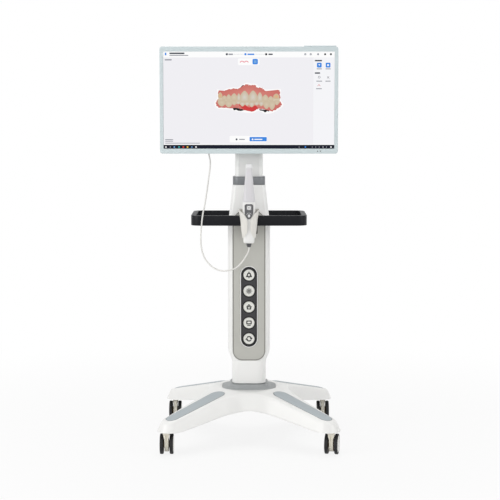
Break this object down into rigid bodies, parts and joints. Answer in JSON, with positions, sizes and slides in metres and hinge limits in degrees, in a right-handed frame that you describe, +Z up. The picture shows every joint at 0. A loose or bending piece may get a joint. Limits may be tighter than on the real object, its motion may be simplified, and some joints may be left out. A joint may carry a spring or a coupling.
{
  "type": "intraoral scanner",
  "caption": "Mobile intraoral scanner: touch-screen monitor on a telescoping column with a handle ring, a corded handpiece in its holder and a star base on castors.",
  "frame": {"origin": "on the floor, under the centre of the base", "axes": "+Z up, the screen faces -Y, +X to the right as seen from the front"},
  "size_m": [0.5578, 0.5578, 1.2393],
  "materials": {
    "white_plastic": "soft gloss white",
    "white_paint": "satin white powder coat",
    "grey_blue_plastic": "fine matte grey-blue",
    "panel_grey": "matte warm grey",
    "face_grey": "matte light grey",
    "strip_black": "dark glossy overlay",
    "key_grey": "matte light grey keys with printed signs",
    "collar_metal": "dark anodised",
    "handle_black": "black, slightly satin",
    "holder_beige": "matte off-white",
    "dark_rubber": "matte black",
    "tip_lavender": "smooth pale lavender grey",
    "pad_grey": "matte dark grey",
    "button_white": "matte white",
    "bezel_blue_grey": "matte pale blue-grey",
    "screen_glass": "lit display behind a smooth cover",
    "frame_steel": "dark powder coat",
    "pin_steel": "bright steel",
    "fork_cream": "matte cream nylon",
    "wheel_black": "black wheel body and tread with a white outer cap",
    "cable_grey": "light grey flexible jacket",
    "mirror_glass": "dark reflective window"
  },
  "bodies": {
    "stand": {"base_cover": "white_plastic", "base_frame": "frame_steel", "center_insert": "grey_blue_plastic", "leg_insert_rear_right": "grey_blue_plastic", "leg_insert_rear_left": "grey_blue_plastic", "leg_insert_front_left": "grey_blue_plastic", "leg_insert_front_right": "grey_blue_plastic", "lower_column": "white_paint", "front_panel": "panel_grey", "key_strip": "strip_black", "cowl": "white_plastic", "collar": "collar_metal", "handle_ring": "handle_black", "handle_arm_front": "handle_black", "handle_arm_rear": "handle_black", "holder": "holder_beige", "holder_clamp": "dark_rubber", "handpiece_body": "white_plastic", "handpiece_tip": "tip_lavender", "tip_window": "mirror_glass", "handpiece_pad": "pad_grey", "cord_gland": "pad_grey", "cord_run": "cable_grey"},
    "lift": {"upper_column": "white_paint", "column_face": "face_grey", "tilt_bracket": "frame_steel", "tilt_pin": "pin_steel", "cable_hook": "frame_steel", "cord_coil": "cable_grey", "cord_lead": "cable_grey"},
    "monitor": {"tilt_knuckle": "frame_steel", "mount_plate": "frame_steel", "monitor_back": "bezel_blue_grey", "monitor_bezel": "bezel_blue_grey", "screen_panel": "screen_glass", "top_strip": "bezel_blue_grey", "scanner_port": "dark_rubber", "power_inlet": "dark_rubber", "cord_plug": "cable_grey"},
    "panel_key_1": {"panel_key_1": "key_grey"},
    "panel_key_2": {"panel_key_2": "key_grey"},
    "panel_key_3": {"panel_key_3": "key_grey"},
    "panel_key_4": {"panel_key_4": "key_grey"},
    "panel_key_5": {"panel_key_5": "key_grey"},
    "main_button": {"main_button": "button_white"},
    "small_button": {"small_button": "button_white"},
    "castor_rear_right": {"castor_fork_rear_right": "fork_cream"},
    "wheel_rear_right_left": {"castor_wheel_rear_right_left": "wheel_black"},
    "wheel_rear_right_right": {"castor_wheel_rear_right_right": "wheel_black"},
    "castor_rear_left": {"castor_fork_rear_left": "fork_cream"},
    "wheel_rear_left_left": {"castor_wheel_rear_left_left": "wheel_black"},
    "wheel_rear_left_right": {"castor_wheel_rear_left_right": "wheel_black"},
    "castor_front_left": {"castor_fork_front_left": "fork_cream"},
    "wheel_front_left_left": {"castor_wheel_front_left_left": "wheel_black"},
    "wheel_front_left_right": {"castor_wheel_front_left_right": "wheel_black"},
    "castor_front_right": {"castor_fork_front_right": "fork_cream"},
    "wheel_front_right_left": {"castor_wheel_front_right_left": "wheel_black"},
    "wheel_front_right_right": {"castor_wheel_front_right_right": "wheel_black"}
  },
  "joints": [
    {"name": "lift_slide", "type": "slide", "parent": "stand", "child": "lift", "axis": [0, 0, 1], "range_m": [-0.05, 0.15], "deforming": ["cord_run"]},
    {"name": "monitor_tilt", "type": "hinge", "parent": "lift", "child": "monitor", "pos_m": [0, 0, 1.0728], "axis": [-1, 0, 0], "range_deg": [-5, 20], "deforming": ["cord_lead"]},
    {"name": "panel_key_1_press", "type": "slide", "parent": "stand", "child": "panel_key_1", "axis": [0, 1, 0], "range_m": [0, 0.0015], "stiffness_N_per_m": 1200, "springref_m": -0.0005},
    {"name": "panel_key_2_press", "type": "slide", "parent": "stand", "child": "panel_key_2", "axis": [0, 1, 0], "range_m": [0, 0.0015], "stiffness_N_per_m": 1200, "springref_m": -0.0005},
    {"name": "panel_key_3_press", "type": "slide", "parent": "stand", "child": "panel_key_3", "axis": [0, 1, 0], "range_m": [0, 0.0015], "stiffness_N_per_m": 1200, "springref_m": -0.0005},
    {"name": "panel_key_4_press", "type": "slide", "parent": "stand", "child": "panel_key_4", "axis": [0, 1, 0], "range_m": [0, 0.0015], "stiffness_N_per_m": 1200, "springref_m": -0.0005},
    {"name": "panel_key_5_press", "type": "slide", "parent": "stand", "child": "panel_key_5", "axis": [0, 1, 0], "range_m": [0, 0.0015], "stiffness_N_per_m": 1200, "springref_m": -0.0005},
    {"name": "main_button_press", "type": "slide", "parent": "stand", "child": "main_button", "axis": [0, 1, 0], "range_m": [0, 0.0008], "stiffness_N_per_m": 1200, "springref_m": -0.0005},
    {"name": "small_button_press", "type": "slide", "parent": "stand", "child": "small_button", "axis": [0, 1, 0], "range_m": [0, 0.0008], "stiffness_N_per_m": 1200, "springref_m": -0.0005},
    {"name": "castor_swivel_rear_right", "type": "hinge", "parent": "stand", "child": "castor_rear_right", "pos_m": [0.25003, 0.25003, 0.08], "axis": [0, 0, 1], "continuous": true},
    {"name": "wheel_spin_rear_right_left", "type": "hinge", "parent": "castor_rear_right", "child": "wheel_rear_right_left", "pos_m": [0.25003, 0.23603, 0.03123], "axis": [-1, 0, 0], "continuous": true},
    {"name": "wheel_spin_rear_right_right", "type": "hinge", "parent": "castor_rear_right", "child": "wheel_rear_right_right", "pos_m": [0.25003, 0.23603, 0.03123], "axis": [-1, 0, 0], "continuous": true},
    {"name": "castor_swivel_rear_left", "type": "hinge", "parent": "stand", "child": "castor_rear_left", "pos_m": [-0.25003, 0.25003, 0.08], "axis": [0, 0, 1], "continuous": true},
    {"name": "wheel_spin_rear_left_left", "type": "hinge", "parent": "castor_rear_left", "child": "wheel_rear_left_left", "pos_m": [-0.25003, 0.23603, 0.03123], "axis": [-1, 0, 0], "continuous": true},
    {"name": "wheel_spin_rear_left_right", "type": "hinge", "parent": "castor_rear_left", "child": "wheel_rear_left_right", "pos_m": [-0.25003, 0.23603, 0.03123], "axis": [-1, 0, 0], "continuous": true},
    {"name": "castor_swivel_front_left", "type": "hinge", "parent": "stand", "child": "castor_front_left", "pos_m": [-0.25003, -0.25003, 0.08], "axis": [0, 0, 1], "continuous": true},
    {"name": "wheel_spin_front_left_left", "type": "hinge", "parent": "castor_front_left", "child": "wheel_front_left_left", "pos_m": [-0.25003, -0.23603, 0.03123], "axis": [1, 0, 0], "continuous": true},
    {"name": "wheel_spin_front_left_right", "type": "hinge", "parent": "castor_front_left", "child": "wheel_front_left_right", "pos_m": [-0.25003, -0.23603, 0.03123], "axis": [1, 0, 0], "continuous": true},
    {"name": "castor_swivel_front_right", "type": "hinge", "parent": "stand", "child": "castor_front_right", "pos_m": [0.25003, -0.25003, 0.08], "axis": [0, 0, 1], "continuous": true},
    {"name": "wheel_spin_front_right_left", "type": "hinge", "parent": "castor_front_right", "child": "wheel_front_right_left", "pos_m": [0.2527, -0.23629, 0.03123], "axis": [0.9816, -0.1908, 0], "continuous": true},
    {"name": "wheel_spin_front_right_right", "type": "hinge", "parent": "castor_front_right", "child": "wheel_front_right_right", "pos_m": [0.2527, -0.23629, 0.03123], "axis": [0.9816, -0.1908, 0], "continuous": true}
  ]
}
